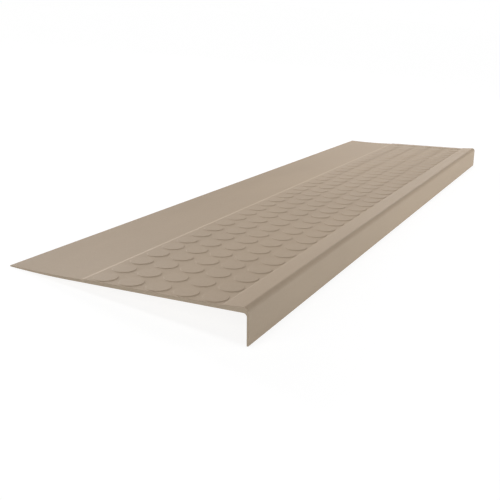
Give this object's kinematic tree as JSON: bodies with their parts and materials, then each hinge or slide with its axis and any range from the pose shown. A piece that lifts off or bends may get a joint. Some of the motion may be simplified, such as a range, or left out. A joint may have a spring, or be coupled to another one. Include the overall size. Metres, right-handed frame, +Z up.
{
  "type": "stair tread",
  "caption": "One-piece moulded rubber stair tread: a plate with raised round studs, a smooth back strip and a hanging nose lip.",
  "frame": {"origin": "middle of the footprint on the floor, halfway along the tread and halfway from front to back, with the tread standing on its lip and its back edge", "axes": "+X along the tread's length, +Y from the nose to the back edge, +Z up from the floor"},
  "size_m": [1.2192, 0.3136, 0.0405],
  "materials": {
    "rubber": "satin moulded rubber, taupe"
  },
  "bodies": {
    "root": {"stair_tread": "rubber"}
  },
  "joints": []
}
